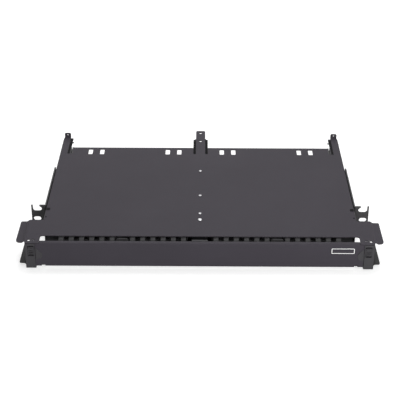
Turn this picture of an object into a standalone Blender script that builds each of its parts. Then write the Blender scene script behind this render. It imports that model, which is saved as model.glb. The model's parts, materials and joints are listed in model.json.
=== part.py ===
# One-unit rack enclosure for optical fibre, with six sliding half-width trays and a drop-down door.
# X runs to the right, Y to the rear and Z up. Sizes are read from the front plane of the rack ears,
# and the frame empty then centres the whole object over the origin.
import math

import bmesh
import bpy
from mathutils import Vector

mm = 0.001

# Clearances
seat_gap = 0.3 * mm          # between fixed pieces that touch
slide_gap = 0.45 * mm        # round a tray tongue in its groove
pin_gap = 0.15 * mm          # round the hinge pins
bolt_gap = 0.3 * mm          # round the latch bolts and buttons

# Body of the enclosure
body_width = 439.0 * mm
body_height = 43.7 * mm
cover_inset = 1.5 * mm         # the cover lies between the bends of the side walls
sheet = 1.2 * mm
fold_radius = 1.0 * mm
cover_front = -84.0 * mm
cover_rear = 186.5 * mm
arm_rear = 224.5 * mm
arm_width = 10.5 * mm
arm_notch_width = 8.0 * mm
notch_depth = 21.5 * mm
wall_front = -34.0 * mm
wall_flange = 15.4 * mm
pan_front = -88.0 * mm
pan_wing_front = -89.5 * mm
pan_wing_rear = -35.0 * mm
pan_wing_round = 3.0 * mm
pan_front_slope = 4.0 * mm       # width of the slope between the pan's front edge and its wings'
pan_relief = 0.5 * mm            # between the wall's bend and the relief cut in front of it

# Side wings that guide the cords round the front corners
wing_reach = 30.0 * mm         # out from the body's side, as are the next four
pan_wing_reach = 28.5 * mm
wing_flat_reach = 17.0 * mm
corner_reach = -2.4 * mm
corner_hole_reach = 12.1 * mm
wing_front = -97.5 * mm
wing_rear = -41.3 * mm
wing_front_round = 6.0 * mm
wing_rear_round = 2.0 * mm
wing_step = 2.0 * mm             # the small slope where the wing meets the corner
joggle_run = 5.2 * mm
joggle_drop = 2.8 * mm
lower_lip_rise = 2.5 * mm
corner_front = -103.6 * mm
corner_round = 3.0 * mm
corner_tip_round = 0.6 * mm
corner_hole = 4.2 * mm
corner_hole_y = -96.3 * mm

# Rear of the cover
tongue_width = 14.7 * mm
tongue_rear = 248.5 * mm
tongue_round = 3.0 * mm
tongue_hole = 5.0 * mm
tongue_hole_inset = 8.2 * mm
tongue_hole_pitch = 29.4 * mm
tongue_slot_half = 11.2 * mm
tab_width = 9.8 * mm
tab_height = 7.2 * mm
tab_hole = 1.8 * mm
tab_inset = 0.7 * mm
tab_round = 2.0 * mm
arm_end_slope = 4.0 * mm         # length of the arm's slanted inner corner beside the tab
tie_window_width = 6.8 * mm
tie_window_length = 17.5 * mm
tie_window_inset = 5.6 * mm
tie_window_pitch = 18.0 * mm
tie_window_round = 1.2 * mm
tie_pair_shares = (0.192, 0.74)   # of half the body's width

# Rack ears
ear_reach = 21.8 * mm           # out from the body's side, to 482.6 mm over both ears
ear_sheet = 2.0 * mm
ear_leg_length = 120.0 * mm
ear_leg_drop = 0.7 * mm         # from the body's top to the leg's
ear_leg_bottom = 5.5 * mm
ear_slot_pitch = 15.875 * mm
ear_slot_height = 6.85 * mm
ear_slot_length = 11.0 * mm
ear_slot_inset = 7.8 * mm
ear_cradle_reach = 1.7 * mm    # how much further in the open top slot goes
ear_hook_reach = 3.6 * mm      # from the slots' middle in to the hook's tip
ear_hook_lip = 1.2 * mm
ear_prong_width = 2.1 * mm
ear_relief = 1.0 * mm          # how far the front plate's corners reach past the bend line
ear_hook_slope = 0.4 * mm
ear_screw_head = 6.4 * mm
ear_screw_rise = 1.6 * mm
ear_screw_shank = 3.0 * mm
ear_screw_places = ((0.28, "front"), (0.85, "rear"))

# Centre channel and the runners
channel_width = 17.4 * mm
channel_front = -46.0 * mm
channel_rear = 222.0 * mm
channel_cut_front = 207.0 * mm     # the channel's top is open behind this line
channel_cut_half = 5.0 * mm
rail_web = 2.4 * mm
rail_ledge = 1.4 * mm
rail_reach = 3.6 * mm
rail_front = -28.0 * mm
ledge_rear = 186.0 * mm
side_rail_rear = 182.0 * mm
fin_front = 167.0 * mm
fin_rear = 190.0 * mm
fin_count = 2
fin_width = 1.3 * mm
fin_pitch = 2.5 * mm
fin_foot = 1.6 * mm
fin_foot_reach = 7.0 * mm     # from the first fin towards the centre line, on the pan
rivet_head = 4.2 * mm
rivet_rise = 0.9 * mm
rivet_shank = 2.4 * mm
thumb_head = 5.8 * mm
centre_fasteners = (107.5 * mm, 30.5 * mm, -22.0 * mm)
thumb_place = -40.0 * mm

# Trays
tray_front = -80.0 * mm
tray_rear = 115.0 * mm
tray_lip = 6.0 * mm
tray_side_play = 1.1 * mm
tongue_lead = 3.0 * mm          # length of the slope at the front of each tray tongue
tray_lip_inset = 2.0 * mm
guide_rear_gap = 2.0 * mm       # between the guides' ends and the tray's rear lip
tray_window_inset = 14.0 * mm
tray_window_round = 5.0 * mm
guide_headroom = 5.35 * mm      # from the guides' tops to the next tray's level
guide_wall = 1.6 * mm
guide_lip = 3.2 * mm
guide_front = -66.0 * mm
finger_count = 6
finger_width = 6.9 * mm
comb_shift = 7.9 * mm          # of each comb from its bay's middle towards the centre line
finger_chamfer = 0.8 * mm
finger_wall = 1.4 * mm
finger_bend = 2.6 * mm
finger_tip = -92.0 * mm
comb_headroom = 3.75 * mm
comb_band = 2.6 * mm
comb_reach = 11.0 * mm       # from the fingers' tips back to the rear of their upright part
comb_foot = 7.0 * mm         # the flat foot behind the first bend
comb_inset = 0.6 * mm        # from the tray's sides in to the comb's ends
pull_width = 17.0 * mm
pull_round = 2.0 * mm
pull_front = -88.5 * mm

# Door
door_front = -103.0 * mm
door_sheet = 1.5 * mm
door_drop = 0.5 * mm            # from the body's top to the door's, and from the cover to the blocks
door_bottom = 6.5 * mm
door_top_flange = 6.2 * mm
door_shoulder_gap = 0.3 * mm      # between the door's top flange and the cover's corners
door_bottom_flange = 6.0 * mm
door_round = 1.5 * mm
door_notch_gap = 1.4 * mm
door_notch_height = 3.4 * mm
block_reach = 3.5 * mm         # from the body's side out to the blocks' inner side
hinge_y = -97.6 * mm
hinge_z = 10.0 * mm
pin_radius = 1.6 * mm
lug_wall = 2.0 * mm
lug_gap = 0.8 * mm           # between the trays' sides and the lugs
lug_radius = 3.4 * mm
lug_foot_front = -86.0 * mm
lug_foot_rear = -66.0 * mm
lug_foot_width = 6.3 * mm
lug_neck_drop = 2.6 * mm       # from the hinge axis to the neck's underside
lug_slope = 6.0 * mm
pin_stub = 0.6 * mm            # how far the pin stands out of the lug's inner face
block_width = 13.3 * mm
block_proud = 1.0 * mm
block_depth = 7.0 * mm
block_bottom = 2.4 * mm
block_toe_round = 4.0 * mm
block_top_round = 1.5 * mm
knuckle_radius = 4.5 * mm
knuckle_length = 7.0 * mm

# Latches
button_inset = 7.7 * mm        # from the block's outer side to the button's middle
button_width = 8.0 * mm
button_height = 12.6 * mm
button_depth = 2.4 * mm
button_drop = 17.3 * mm         # from the block's top to the button's lower end
button_round = 1.6 * mm
button_proud = 0.1 * mm
button_up = 1.6 * mm
button_down = 1.5 * mm
rib_count = 3
rib_height = 1.3 * mm
rib_pitch = 3.9 * mm
rib_proud = 1.0 * mm
bolt_shift = 2.2 * mm          # from the button's middle in to the bolt's
bolt_width = 4.0 * mm
bolt_rest = 0.5 * mm          # between the bolt at rest and its slot in the cover
bolt_wall = 1.5 * mm
bolt_rear = -94.1 * mm
shank_height = 6.0 * mm
shank_lift = 3.6 * mm
spring_radius = 1.4 * mm
spring_wire = 0.3 * mm
spring_turns = 4
well_floor = 0.4 * mm         # the spring well's floor above the recess's lower end

# Worked out from the sizes above
body_half = body_width / 2
corner_inner = body_half + corner_reach
ear_leg_top = body_height - ear_leg_drop
door_top = body_height - door_drop
cover_half = body_half - cover_inset
flat_half = body_half + wing_flat_reach
ear_outer = body_half + ear_reach
wall_top = body_height - sheet - seat_gap
cover_under = body_height - sheet
block_top = cover_under - door_drop
button_bottom = block_top - button_drop
rail_bottom = sheet + seat_gap
rail_top = wall_top - sheet - seat_gap
side_web_back = body_half - sheet - seat_gap
centre_web_back = channel_width / 2 + seat_gap
tray_pitch = (cover_under - sheet - 2 * seat_gap) / 3
guide_height = tray_pitch - guide_headroom
comb_rise = tray_pitch - comb_headroom
tray_outer_tongue = side_web_back - rail_web - slide_gap
tray_inner_tongue = centre_web_back + rail_web + slide_gap
tray_outer = side_web_back - rail_web - rail_reach - tray_side_play
tray_inner = centre_web_back + rail_web + rail_reach + tray_side_play
bay_width = (tray_outer - tray_inner) / 2
finger_pitch = bay_width / (finger_count + 1)
comb_middles = (tray_inner + bay_width * 0.5 - comb_shift, tray_inner + bay_width * 1.5 - comb_shift)
lug_x = tray_outer + lug_gap
block_inner_x = body_half + block_reach
block_front = door_front - block_proud
block_rear = block_front + block_depth
button_front = block_front - button_proud
front_reach = button_front - rib_proud
centre_y = (front_reach + tongue_rear) / 2
button_x = block_inner_x + block_width - button_inset
bolt_x = button_x - bolt_shift
bolt_top = cover_under - bolt_rest

finishes = {
    "powder_black": ((0.075, 0.073, 0.078, 1.0), 0.55, 0.0),
    "powder_dark": ((0.045, 0.044, 0.047, 1.0), 0.55, 0.0),
    "plastic_black": ((0.040, 0.040, 0.042, 1.0), 0.45, 0.0),
    "steel_bright": ((0.60, 0.60, 0.61, 1.0), 0.30, 1.0),
    "spring_steel": ((0.35, 0.35, 0.36, 1.0), 0.35, 1.0),
}


def clear_scene():
    for item in list(bpy.data.objects):
        bpy.data.objects.remove(item, do_unlink=True)


def finish_material(name, finish):
    colour, roughness, metallic = finishes[finish]
    material = bpy.data.materials.new(name)
    material.use_nodes = True
    shader = material.node_tree.nodes["Principled BSDF"]
    shader.inputs["Base Color"].default_value = colour
    shader.inputs["Roughness"].default_value = roughness
    shader.inputs["Metallic"].default_value = metallic
    material.diffuse_color = colour
    return material


# An empty at a joint's axis, or at the frame's origin. Its place is given in the ears' frame.
def make_empty(name, place, parent=None):
    empty = bpy.data.objects.new(name, None)
    bpy.context.scene.collection.objects.link(empty)
    empty["place"] = tuple(place)
    if parent is None:
        empty.location = (0.0, -centre_y, 0.0)
    else:
        empty.parent = parent
        empty.location = Vector(place) - Vector(parent["place"])
    return empty


# Turns a bmesh, whose points are in the ears' frame, into a named object under its empty.
def make_object(bm, name, finish, parent, smooth_angle=None):
    bmesh.ops.remove_doubles(bm, verts=bm.verts[:], dist=0.000001)
    bmesh.ops.recalc_face_normals(bm, faces=bm.faces[:])
    mesh = bpy.data.meshes.new(name)
    bm.to_mesh(mesh)
    bm.free()
    if smooth_angle is not None:
        mesh.shade_smooth()
        mesh.set_sharp_from_angle(angle=math.radians(smooth_angle))
    mesh.materials.append(finish_material(name, finish))
    piece = bpy.data.objects.new(name, mesh)
    bpy.context.scene.collection.objects.link(piece)
    piece.parent = parent
    piece.location = -Vector(parent["place"])
    return piece


# A body that only cuts or joins another: it never shows and is left out of the model.
def make_tool(bm, name, parent):
    tool = make_object(bm, name, "powder_dark", parent)
    tool.hide_render = True
    tool.hide_viewport = False
    tool.display_type = "WIRE"
    return tool


def combine(piece, tool, operation):
    modifier = piece.modifiers.new(operation.lower(), "BOOLEAN")
    modifier.operation = operation
    modifier.object = tool
    modifier.solver = "EXACT"


def arc(centre_u, centre_v, radius, start, end, steps=4):
    points = []
    for step in range(steps + 1):
        angle = math.radians(start + (end - start) * step / steps)
        points.append((centre_u + radius * math.cos(angle), centre_v + radius * math.sin(angle)))
    return points


def circle(centre_u, centre_v, radius, sides=12):
    return arc(centre_u, centre_v, radius, 0, 360, sides)[:-1]


def rectangle(u0, u1, v0, v1):
    return [(u0, v0), (u1, v0), (u1, v1), (u0, v1)]


def rounded(u0, u1, v0, v1, radius, steps=3):
    points = arc(u0 + radius, v0 + radius, radius, 180, 270, steps)
    points += arc(u1 - radius, v0 + radius, radius, 270, 360, steps)
    points += arc(u1 - radius, v1 - radius, radius, 0, 90, steps)
    points += arc(u0 + radius, v1 - radius, radius, 90, 180, steps)
    return points


# Closes a right-hand half outline, listed front to rear, over the centre line.
def both_halves(half):
    return half + [(-u, v) for u, v in reversed(half)]


# A flat sheet, from zero up to its thickness, with holes.
def flat_sheet(outer, holes, thickness, base=0.0):
    bm = bmesh.new()
    edges = []
    for loop in [outer] + holes:
        verts = [bm.verts.new((u, v, base)) for u, v in loop]
        for index, vert in enumerate(verts):
            edges.append(bm.edges.new((vert, verts[(index + 1) % len(verts)])))
    bmesh.ops.triangle_fill(bm, use_beauty=True, use_dissolve=False, edges=edges, normal=(0, 0, 1))
    grown = bmesh.ops.extrude_face_region(bm, geom=bm.faces[:])
    moved = [item for item in grown["geom"] if isinstance(item, bmesh.types.BMVert)]
    bmesh.ops.translate(bm, verts=moved, vec=(0, 0, thickness))
    bmesh.ops.recalc_face_normals(bm, faces=bm.faces[:])
    return bm


# An outline pushed along X (points are Y, Z) or along Y (points are X, Z).
def extrusion(points, along, start, end, holes=()):
    bm = flat_sheet(list(points), list(holes), end - start)
    for vert in bm.verts:
        u, v, w = vert.co
        vert.co = (start + w, u, v) if along == "x" else (u, start + w, v)
    bmesh.ops.recalc_face_normals(bm, faces=bm.faces[:])
    return bm


def block(x0, x1, y0, y1, z0, z1):
    return flat_sheet(rectangle(x0, x1, y0, y1), [], z1 - z0, z0)


def rod(y, z, radius, x0, x1, sides=16):
    return extrusion(circle(y, z, radius, sides), "x", x0, x1)


def merge(*parts):
    whole = bmesh.new()
    for part in parts:
        mesh = bpy.data.meshes.new("joined")
        part.to_mesh(mesh)
        part.free()
        whole.from_mesh(mesh)
        bpy.data.meshes.remove(mesh)
    return whole


def mirror_x(bm):
    for vert in bm.verts:
        vert.co.x = -vert.co.x
    bmesh.ops.reverse_faces(bm, faces=bm.faces[:])
    return bm


def lift(bm, height):
    bmesh.ops.translate(bm, verts=bm.verts[:], vec=(0, 0, height))
    return bm


def side_of(bm, sign):
    return bm if sign > 0 else mirror_x(bm)


def neutral(radius, thickness):
    return radius + thickness / 2


# Folds what lies beyond a line by an angle round an inside radius, up or down, as a press brake does.
# The line is square to the bent coordinate (0 for X, 1 for Y), and sign says which side is beyond it.
def fold(bm, coordinate, sign, start, thickness, radius, upward=True, angle=90.0, steps=2, only=None):
    turn = math.radians(angle)
    length = neutral(radius, thickness) * turn
    normal = Vector((1, 0, 0)) if coordinate == 0 else Vector((0, 1, 0))
    for step in range(steps + 1):
        place = normal * sign * (start + length * step / steps)
        geometry = bm.verts[:] + bm.edges[:] + bm.faces[:]
        bmesh.ops.bisect_plane(bm, geom=geometry, dist=0.0000005, plane_co=place, plane_no=normal)
    for vert in bm.verts:
        distance = sign * vert.co[coordinate] - start
        if distance <= 0.0 or (only is not None and not only(vert.co)):
            continue
        theta = min(distance / neutral(radius, thickness), turn)
        rest = distance - neutral(radius, thickness) * theta
        height = vert.co.z if upward else thickness - vert.co.z
        reach = thickness + radius - height
        across = reach * math.sin(theta) + rest * math.cos(theta)
        risen = thickness + radius - reach * math.cos(theta) + rest * math.sin(theta)
        vert.co[coordinate] = sign * (start + across)
        vert.co.z = risen if upward else thickness - risen


# Steps the sheet down or up outside a given half width, through an S-shaped bend.
def joggle(bm, start, run, drop, steps=4, only=None):
    for sign in (-1, 1):
        for step in range(steps + 1):
            place = Vector((sign * (start + run * step / steps), 0, 0))
            geometry = bm.verts[:] + bm.edges[:] + bm.faces[:]
            bmesh.ops.bisect_plane(bm, geom=geometry, dist=0.0000005, plane_co=place, plane_no=(1, 0, 0))
    for vert in bm.verts:
        share = min(max((abs(vert.co.x) - start) / run, 0.0), 1.0)
        if share > 0.0 and (only is None or only(vert.co)):
            vert.co.z -= drop * (3 - 2 * share) * share * share


# The wing's edge from the front corner outwards and back towards the body's side, on the right.
def wing_edge(reach, front, front_round, rear):
    half = body_half + reach
    points = arc(half - front_round, front + front_round, front_round, 270, 360)
    points += arc(half - wing_rear_round, rear - wing_rear_round, wing_rear_round, 0, 90, 2)
    return points


def tab_blank_end():
    start = arm_rear - sheet - fold_radius
    return start + neutral(fold_radius, sheet) * math.pi / 2 + tab_height - fold_radius


# Rear edge of the cover from the body's side to the centre line: arm, tab, notch and tongue.
def rear_edge():
    arm_inner = cover_half - arm_width
    tab_outer = cover_half - tab_inset
    tab_inner = tab_outer - tab_width
    tab_start = arm_rear - sheet - fold_radius
    notch_bottom = cover_rear - notch_depth
    half_tongue = tongue_width / 2
    points = [(cover_half, tab_start - seat_gap), (tab_outer, tab_start - seat_gap)]
    points += arc(tab_outer - tab_round, tab_blank_end() - tab_round, tab_round, 0, 90, 2)
    points += arc(tab_inner + tab_round, tab_blank_end() - tab_round, tab_round, 90, 180, 2)
    points += [(tab_inner, tab_start - seat_gap), (arm_inner, tab_start - arm_end_slope)]
    points += [(arm_inner, notch_bottom), (arm_inner - arm_notch_width, notch_bottom)]
    points += [(arm_inner - arm_notch_width, cover_rear)]
    points += [(tongue_slot_half, cover_rear), (tongue_slot_half, notch_bottom), (half_tongue, notch_bottom)]
    points += arc(half_tongue - tongue_round, tongue_rear - tongue_round, tongue_round, 0, 90, 3)
    return points


def make_top_cover(parent):
    tip = corner_tip_round
    half = arc(corner_inner - corner_round, cover_front - corner_round, corner_round, 90, 0, 3)
    half += arc(corner_inner + tip, corner_front + tip, tip, 180, 270, 2)
    half += arc(flat_half - tip, corner_front + tip, tip, 270, 360, 2)
    half += [(flat_half, wing_front - wing_step), (flat_half + wing_step, wing_front)]
    half += wing_edge(wing_reach, wing_front, wing_front_round, wing_rear)
    half += [(cover_half, wing_rear)]
    half += rear_edge()
    holes = []
    for sign in (-1, 1):
        for share in tie_pair_shares:
            for shift in (-tie_window_pitch / 2, tie_window_pitch / 2):
                middle = sign * (body_half * share + shift)
                rear = cover_rear - tie_window_inset
                edges = (middle - tie_window_width / 2, middle + tie_window_width / 2)
                holes.append(rounded(*edges, rear - tie_window_length, rear, tie_window_round, 2))
        middle = sign * (body_half + corner_hole_reach)
        holes.append(circle(middle, corner_hole_y, corner_hole / 2))
        slot_half = bolt_width / 2 + bolt_gap
        slot_rear = bolt_rear + bolt_gap
        slot_front = bolt_rear - bolt_wall - bolt_gap
        middle = sign * bolt_x
        holes.append(rectangle(middle - slot_half, middle + slot_half, slot_front, slot_rear))
    for shift in (0, tongue_hole_pitch):
        holes.append(circle(0, tongue_rear - tongue_hole_inset - shift, tongue_hole / 2))
    for place in centre_fasteners + (thumb_place,):
        holes.append(circle(0, place, rivet_shank / 2 + seat_gap, 8))
    bm = flat_sheet(both_halves(half), holes, sheet)
    joggle(bm, flat_half, joggle_run, joggle_drop)
    tab_start = arm_rear - sheet - fold_radius
    fold(bm, 1, 1, tab_start, sheet, fold_radius, steps=3, only=lambda co: abs(co.x) > tongue_width)
    lift(bm, cover_under)
    cover = make_object(bm, "top_cover", "powder_black", parent)
    drills = []
    for sign in (-1, 1):
        middle = sign * (cover_half - tab_inset - tab_width / 2)
        height = body_height + tab_height * 0.55
        hole = extrusion(circle(middle, height, tab_hole / 2, 10), "y", arm_rear - 4 * mm, arm_rear + 2 * mm)
        drills.append(hole)
    combine(cover, make_tool(merge(*drills), "tab_hole_tool", parent), "DIFFERENCE")


def make_base_pan(parent):
    turn = neutral(fold_radius, sheet) * math.pi / 2
    wall_start = body_half - sheet - fold_radius
    flange_start = wall_start + turn + wall_top - 2 * (sheet + fold_radius)
    blank_end = flange_start + turn + wall_flange - sheet - fold_radius
    arm_inner = cover_half - arm_width
    notch_bottom = cover_rear - notch_depth
    relief_x = wall_start - pan_relief
    arm_end = arm_rear - sheet - fold_radius - seat_gap
    half = [(lug_x - pan_front_slope / 2, pan_front), (lug_x + pan_front_slope / 2, pan_wing_front)]
    half.append((flat_half, pan_wing_front))
    half += wing_edge(pan_wing_reach, pan_wing_front, pan_wing_round, pan_wing_rear)
    half += [(relief_x, pan_wing_rear), (relief_x, wall_front)]
    half += [(blank_end, wall_front), (blank_end, arm_end), (arm_inner, arm_end)]
    half += [(arm_inner, notch_bottom), (arm_inner - arm_notch_width, notch_bottom)]
    half += [(arm_inner - arm_notch_width, cover_rear)]
    bm = flat_sheet(both_halves(half), [], sheet)

    def in_wall(co):
        return co.y > wall_front - 0.1 * mm

    joggle(bm, flat_half, joggle_run, -lower_lip_rise, only=lambda co: co.y < pan_wing_rear + 0.1 * mm)
    for sign in (-1, 1):
        fold(bm, 0, sign, flange_start, sheet, fold_radius, only=in_wall)
    for sign in (-1, 1):
        fold(bm, 0, sign, wall_start, sheet, fold_radius, only=in_wall)
    pan = make_object(bm, "base_pan", "powder_dark", parent)
    drills = merge(*[leg_drills(sign, ear_screw_shank / 2 + seat_gap) for sign in (-1, 1)])
    combine(pan, make_tool(drills, "wall_drill_tool", parent), "DIFFERENCE")


# The ear's outline is X and Z. Its top slot is open upwards behind a hooked lip.
def make_ear(sign, parent):
    leg_x = body_half + seat_gap
    bend_start = leg_x + ear_sheet + fold_radius
    turn = neutral(fold_radius, ear_sheet) * math.pi / 2
    leg_end = bend_start - turn - (ear_leg_length - ear_sheet - fold_radius)
    slot_x = ear_outer - ear_slot_inset
    radius = ear_slot_height / 2
    straight = ear_slot_length / 2 - radius
    middle_z = body_height / 2
    top_z = middle_z + ear_slot_pitch
    notch = bend_start - ear_relief
    points = [(leg_end, ear_leg_bottom), (notch, ear_leg_bottom), (notch, 0), (ear_outer, 0)]
    points += [(ear_outer, body_height), (ear_outer - ear_prong_width, body_height)]
    points += arc(slot_x + straight, top_z, radius, 0, -90, 3)
    cradle = slot_x - straight - ear_cradle_reach
    points += arc(cradle, top_z, radius, 270, 180, 3)
    points += [(cradle - radius * 0.9, top_z + radius * 0.6)]
    points += [(slot_x - ear_hook_reach, body_height - ear_hook_lip)]
    points += [(slot_x - ear_hook_reach - ear_hook_slope, body_height), (notch, body_height)]
    points += [(notch, ear_leg_top), (leg_end, ear_leg_top)]
    holes = []
    for level in (-1, 0):
        z = middle_z + level * ear_slot_pitch
        slot = arc(slot_x + straight, z, radius, -90, 90, 6)
        slot += arc(slot_x - straight, z, radius, 90, 270, 6)
        holes.append(slot)
    bm = flat_sheet(points, holes, ear_sheet)
    fold_toward_body(bm, bend_start)
    for vert in bm.verts:
        vert.co = (vert.co.x, vert.co.z, vert.co.y)
    bmesh.ops.reverse_faces(bm, faces=bm.faces[:])
    name = "ear_right" if sign > 0 else "ear_left"
    ear = make_object(side_of(bm, sign), name, "powder_dark", parent)
    drills = leg_drills(sign, ear_screw_shank / 2 + seat_gap)
    combine(ear, make_tool(drills, name + "_drill_tool", parent), "DIFFERENCE")


# Folds the ear's leg back along the side wall: everything nearer the body than the bend line.
def fold_toward_body(bm, start):
    for vert in bm.verts:
        vert.co.x = -vert.co.x
    bmesh.ops.reverse_faces(bm, faces=bm.faces[:])
    fold(bm, 0, 1, -start, ear_sheet, fold_radius)
    for vert in bm.verts:
        vert.co.x = -vert.co.x
    bmesh.ops.reverse_faces(bm, faces=bm.faces[:])


# A three-level runner. The tray tongues ride between its ledges, which reach from the web to the tip.
def runner_outline(back, face, tip):
    points = [(back, rail_bottom), (back, rail_top), (face, rail_top)]
    for level in (2, 1, 0):
        tongue = tray_floor(level)
        for low in (tongue + sheet + slide_gap, tongue - slide_gap - rail_ledge):
            high = low + rail_ledge
            points += [(face, high), (tip, high), (tip, low), (face, low)]
    points.append((face, rail_bottom))
    return points


def tray_floor(level):
    return sheet + 2 * seat_gap + rail_ledge + slide_gap + tray_pitch * level


def make_runners(parent):
    for sign, side in ((-1, "left"), (1, "right")):
        face = side_web_back - rail_web
        outline = runner_outline(side_web_back, face, face - rail_reach)
        bm = extrusion(outline, "y", rail_front, side_rail_rear)
        make_object(side_of(bm, sign), "side_rail_" + side, "plastic_black", parent)
        face = centre_web_back + rail_web
        outline = runner_outline(centre_web_back, face, face + rail_reach)
        bm = extrusion(outline, "y", rail_front, channel_rear)
        rail = make_object(side_of(bm, sign), "centre_rail_" + side, "plastic_black", parent)
        ends = block(face, face + 2 * rail_reach, ledge_rear, channel_rear + 1 * mm, 0, body_height)
        combine(rail, make_tool(side_of(ends, sign), "ledge_%s_tool" % side, parent), "DIFFERENCE")


def make_channel(parent):
    half = channel_width / 2
    top = cover_under - seat_gap
    inner = half - sheet
    low = sheet + seat_gap
    points = [(half, low), (half, top - fold_radius), (half - fold_radius, top)]
    points += [(fold_radius - half, top), (-half, top - fold_radius), (-half, low)]
    points += [(-inner, low), (-inner, top - sheet), (inner, top - sheet), (inner, low)]
    channel = make_object(extrusion(points, "y", channel_front, channel_rear), "centre_channel",
                          "powder_dark", parent)
    drills = []
    for place in centre_fasteners + (thumb_place,):
        hole = circle(0, place, rivet_shank / 2 + seat_gap, 8)
        drills.append(flat_sheet(hole, [], 4 * sheet, top - 2 * sheet))
    drills.append(block(-channel_cut_half, channel_cut_half, channel_cut_front, channel_rear + 1 * mm,
                        top - 2 * sheet, top + 1 * mm))
    combine(channel, make_tool(merge(*drills), "channel_drill_tool", parent), "DIFFERENCE")


# Upright fins under the cover's rear notches keep the cords apart. They stand on the pan.
def make_fins(sign, parent):
    low = sheet + seat_gap
    foot_high = low + fin_foot
    start = cover_half - arm_width - arm_notch_width + 2 * seat_gap
    foot_inner = start - fin_foot_reach
    points = [(foot_inner, low), (start + (fin_count - 1) * fin_pitch + fin_width, low)]
    for index in reversed(range(fin_count)):
        x = start + index * fin_pitch
        points += [(x + fin_width, cover_under), (x, cover_under), (x, foot_high)]
        points.append((x - fin_pitch + fin_width, foot_high) if index > 0 else (foot_inner, foot_high))
    name = "rear_fins_right" if sign > 0 else "rear_fins_left"
    make_object(side_of(extrusion(points, "y", fin_front, fin_rear), sign), name, "plastic_black", parent)


# A domed head on its shank, turned round a vertical axis through (x, y).
def dome_fastener(x, y, head, rise, shank, depth, seat, sides=12):
    profile = [(0.0, seat + rise), (head * 0.28, seat + rise * 0.92), (head * 0.44, seat + rise * 0.55)]
    profile += [(head / 2, seat), (shank / 2, seat), (shank / 2, seat - depth), (0.0, seat - depth)]
    bm = bmesh.new()
    verts = [bm.verts.new((radius, 0, z)) for radius, z in profile]
    edges = [bm.edges.new(pair) for pair in zip(verts, verts[1:])]
    bmesh.ops.spin(bm, geom=verts + edges, cent=(0, 0, 0), axis=(0, 0, 1), dvec=(0, 0, 0),
                   angle=2 * math.pi, steps=sides, use_merge=True, use_duplicate=False)
    bmesh.ops.remove_doubles(bm, verts=bm.verts[:], dist=0.000001)
    bmesh.ops.translate(bm, verts=bm.verts[:], vec=(x, y, 0))
    return bm


def make_cover_fasteners(parent):
    seat = body_height + seat_gap
    depth = 3 * sheet
    for place, word in zip(centre_fasteners, ("rear", "middle", "front")):
        rivet = dome_fastener(0, place, rivet_head, rivet_rise, rivet_shank, depth, seat)
        make_object(rivet, "cover_rivet_" + word, "steel_bright", parent, 40)
    screw = dome_fastener(0, thumb_place, thumb_head, rivet_rise * 1.5, rivet_shank, depth, seat, 16)
    make_object(screw, "cover_screw", "steel_bright", parent, 40)


# The leg's screws, whose shanks pass through the leg and the side wall.
def make_ear_screws(sign, parent):
    side = "right" if sign > 0 else "left"
    seat = body_half + ear_sheet + 2 * seat_gap
    z = (ear_leg_bottom + ear_leg_top) / 2
    for share, word in ear_screw_places:
        depth = ear_sheet + sheet + 2 * seat_gap
        screw = dome_fastener(0, 0, ear_screw_head, ear_screw_rise, ear_screw_shank, depth, 0)
        for vert in screw.verts:
            vert.co = (seat + vert.co.z, share * ear_leg_length + vert.co.x, z + vert.co.y)
        make_object(side_of(screw, sign), "ear_screw_%s_%s" % (side, word), "steel_bright", parent, 40)


# Drills for those screws, through the leg or through the side wall.
def leg_drills(sign, radius):
    z = (ear_leg_bottom + ear_leg_top) / 2
    low, high = body_half - 4 * sheet, body_half + 2 * ear_sheet
    drills = []
    for place in ear_screw_places:
        drills.append(side_of(rod(place[0] * ear_leg_length, z, radius, low, high, 10), sign))
    return merge(*drills)


def make_tray(sign, name, level, parent):
    low = tray_floor(level)
    lip_start = tray_rear - sheet - fold_radius
    blank_end = lip_start + neutral(fold_radius, sheet) * math.pi / 2 + tray_lip - fold_radius
    step = rail_front + seat_gap
    tongue_rear_end = lip_start - seat_gap
    pull_start = -pull_front - sheet - fold_radius
    pull_end = -pull_start - neutral(fold_radius, sheet) * math.pi / 2 - comb_rise + fold_radius
    pull_middle = sum(comb_middles) / 2
    left, right = pull_middle - pull_width / 2, pull_middle + pull_width / 2
    points = [(tray_inner, tray_front), (left, tray_front), (left, pull_end + pull_round)]
    points += [(left + pull_round, pull_end), (right - pull_round, pull_end), (right, pull_end + pull_round)]
    points += [(right, tray_front), (tray_outer, tray_front), (tray_outer, step)]
    points += [(tray_outer_tongue, step + tongue_lead), (tray_outer_tongue, tongue_rear_end)]
    lip_inner, lip_outer = tray_inner + tray_lip_inset, tray_outer - tray_lip_inset
    points += [(lip_outer, tongue_rear_end), (lip_outer, blank_end)]
    points += [(lip_inner, blank_end), (lip_inner, tongue_rear_end), (tray_inner_tongue, tongue_rear_end)]
    points += [(tray_inner_tongue, step + tongue_lead), (tray_inner, step)]
    holes = []
    window_width = (bay_width - 3 * tray_window_inset) / 2
    for bay in (0, 1):
        for column in (0, 1):
            left = tray_inner + bay * bay_width + tray_window_inset
            left += column * (window_width + tray_window_inset)
            front, rear = tray_front + 2 * tray_window_inset, tray_rear - tray_window_inset
            holes.append(rounded(left, left + window_width, front, rear, tray_window_round, 2))
    bm = flat_sheet(points, holes, sheet)
    fold(bm, 1, 1, lip_start, sheet, fold_radius)
    fold(bm, 1, -1, pull_start, sheet, fold_radius)
    lift(bm, low)
    tray = make_object(side_of(bm, sign), "tray_" + name, "powder_dark", parent)
    tool = make_tool(side_of(guide_rails(level), sign), "guide_%s_tool" % name, parent)
    combine(tray, tool, "UNION")


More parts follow.
